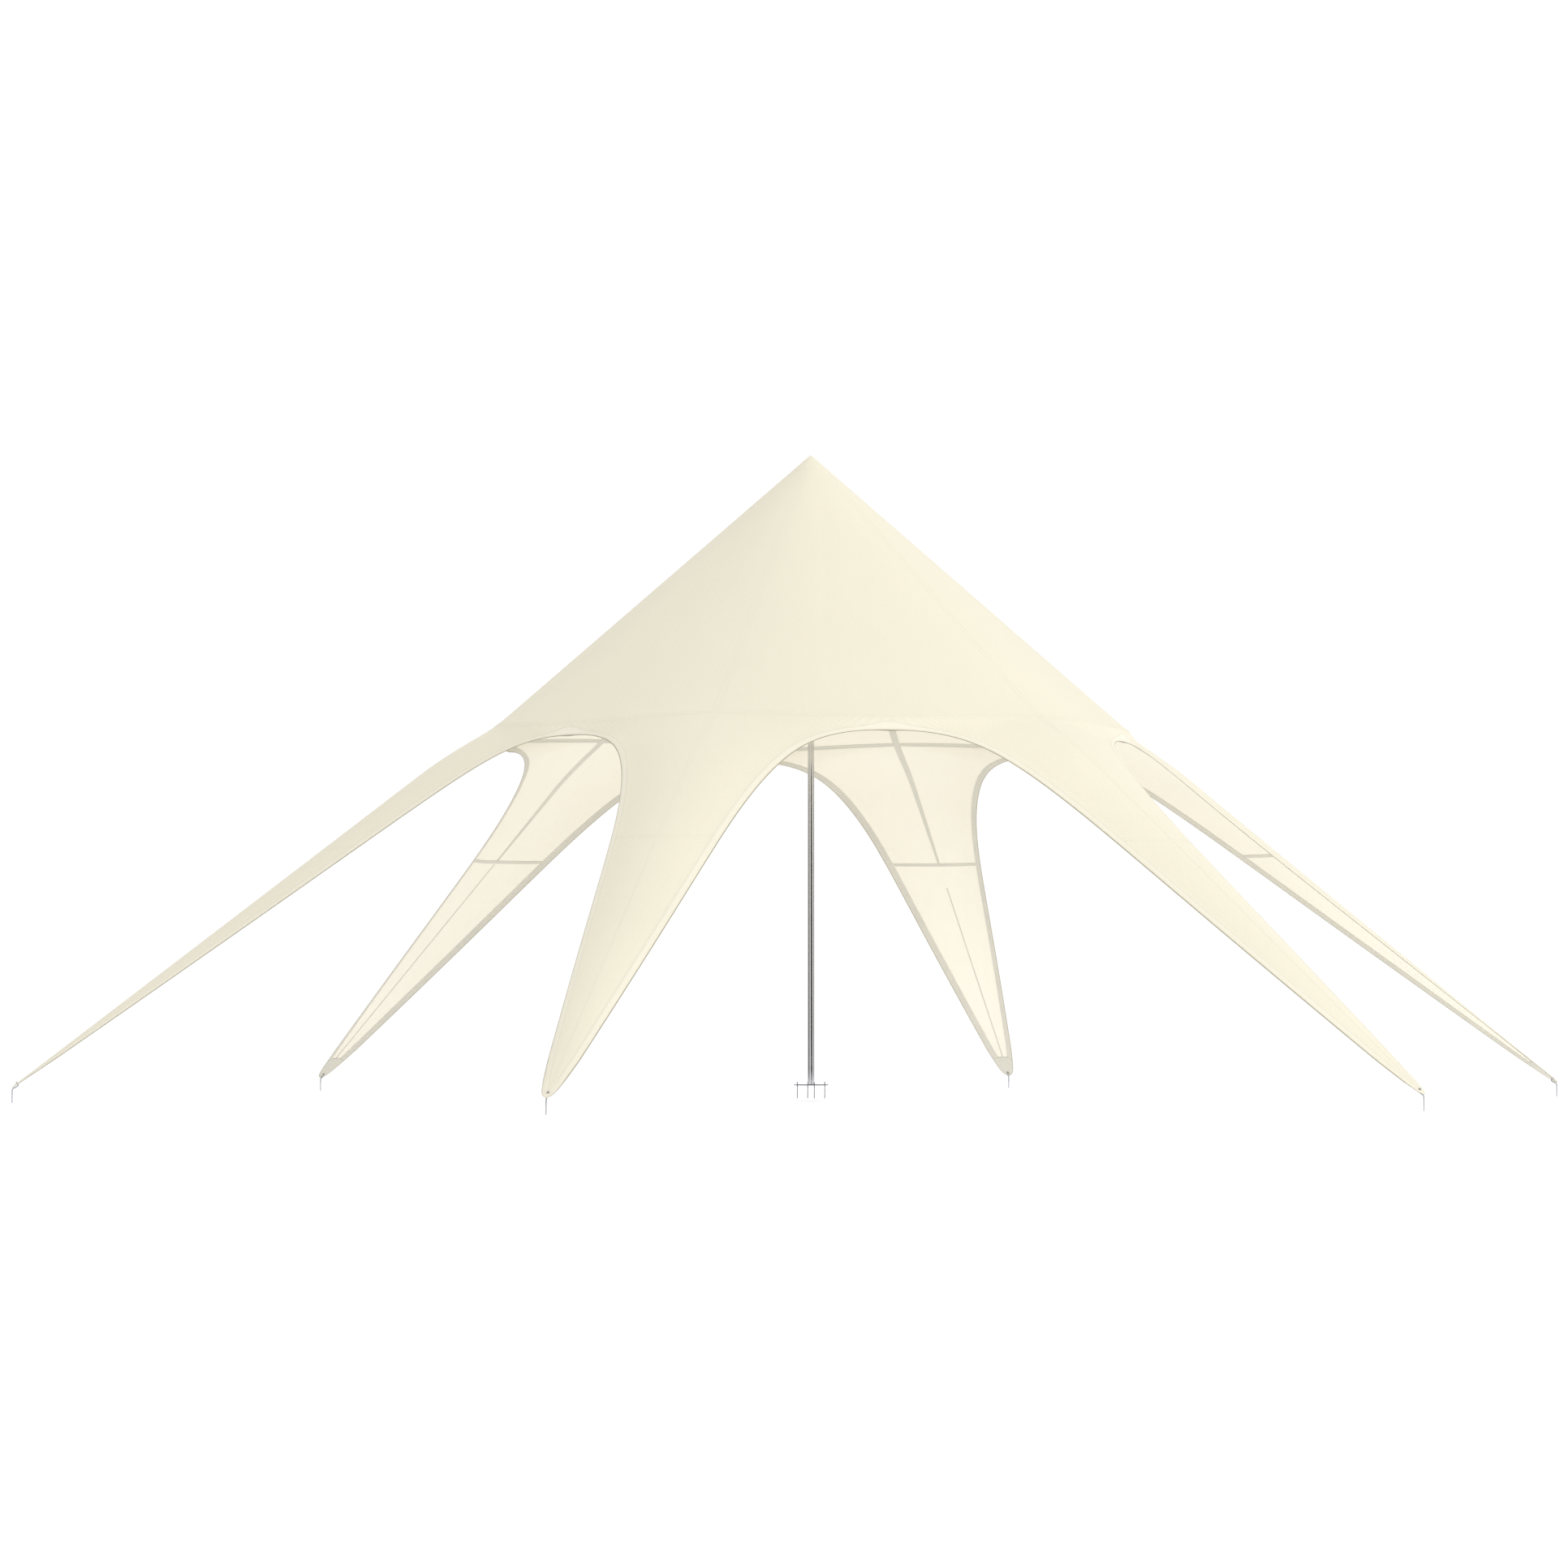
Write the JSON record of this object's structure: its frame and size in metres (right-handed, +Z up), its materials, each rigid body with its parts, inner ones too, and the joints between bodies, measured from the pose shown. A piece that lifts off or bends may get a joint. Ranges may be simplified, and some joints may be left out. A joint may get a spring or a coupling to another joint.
{
  "type": "star tent",
  "caption": "Star-shaped tension tent: a round canopy runs out into long pegged arms over a central steel pole on a pegged base plate, open between the arms for shade.",
  "frame": {"origin": "centre of the base plate's underside, at ground level under the pole", "axes": "+Z up along the pole, +X out along one arm; +Y points through the middle of an arch"},
  "size_m": [12.008, 10.4, 4.897],
  "materials": {
    "canvas": "matt cream woven polyester",
    "webbing": "matt greyish beige webbing",
    "polished_steel": "polished bright steel",
    "galvanised": "galvanised, dull",
    "nickel": "nickel-plated, dark",
    "plug_plastic": "black, moulded"
  },
  "bodies": {
    "root": {"apex_cap": "canvas", "arch_gore_1": "canvas", "arch_gore_2": "canvas", "arch_gore_3": "canvas", "arch_gore_4": "canvas", "arch_gore_5": "canvas", "arch_gore_6": "canvas", "arm_end_1": "canvas", "arm_end_2": "canvas", "arm_end_3": "canvas", "arm_end_4": "canvas", "arm_end_5": "canvas", "arm_end_6": "canvas", "base_peg_1": "galvanised", "base_peg_2": "galvanised", "base_peg_3": "galvanised", "base_peg_4": "galvanised", "base_plate": "polished_steel", "crown_gore_1": "canvas", "crown_gore_2": "canvas", "crown_gore_3": "canvas", "crown_gore_4": "canvas", "crown_gore_5": "canvas", "crown_gore_6": "canvas", "hem_band_1": "webbing", "hem_band_2": "webbing", "hem_band_3": "webbing", "hem_band_4": "webbing", "hem_band_5": "webbing", "hem_band_6": "webbing", "pole_plug": "plug_plastic", "pole_section_1": "polished_steel", "pole_section_2": "polished_steel", "pole_section_3": "polished_steel", "tip_eyelet_1": "nickel", "tip_eyelet_2": "nickel", "tip_eyelet_3": "nickel", "tip_eyelet_4": "nickel", "tip_eyelet_5": "nickel", "tip_eyelet_6": "nickel", "tip_peg_1": "galvanised", "tip_peg_2": "galvanised", "tip_peg_3": "galvanised", "tip_peg_4": "galvanised", "tip_peg_5": "galvanised", "tip_peg_6": "galvanised"}
  },
  "joints": []
}
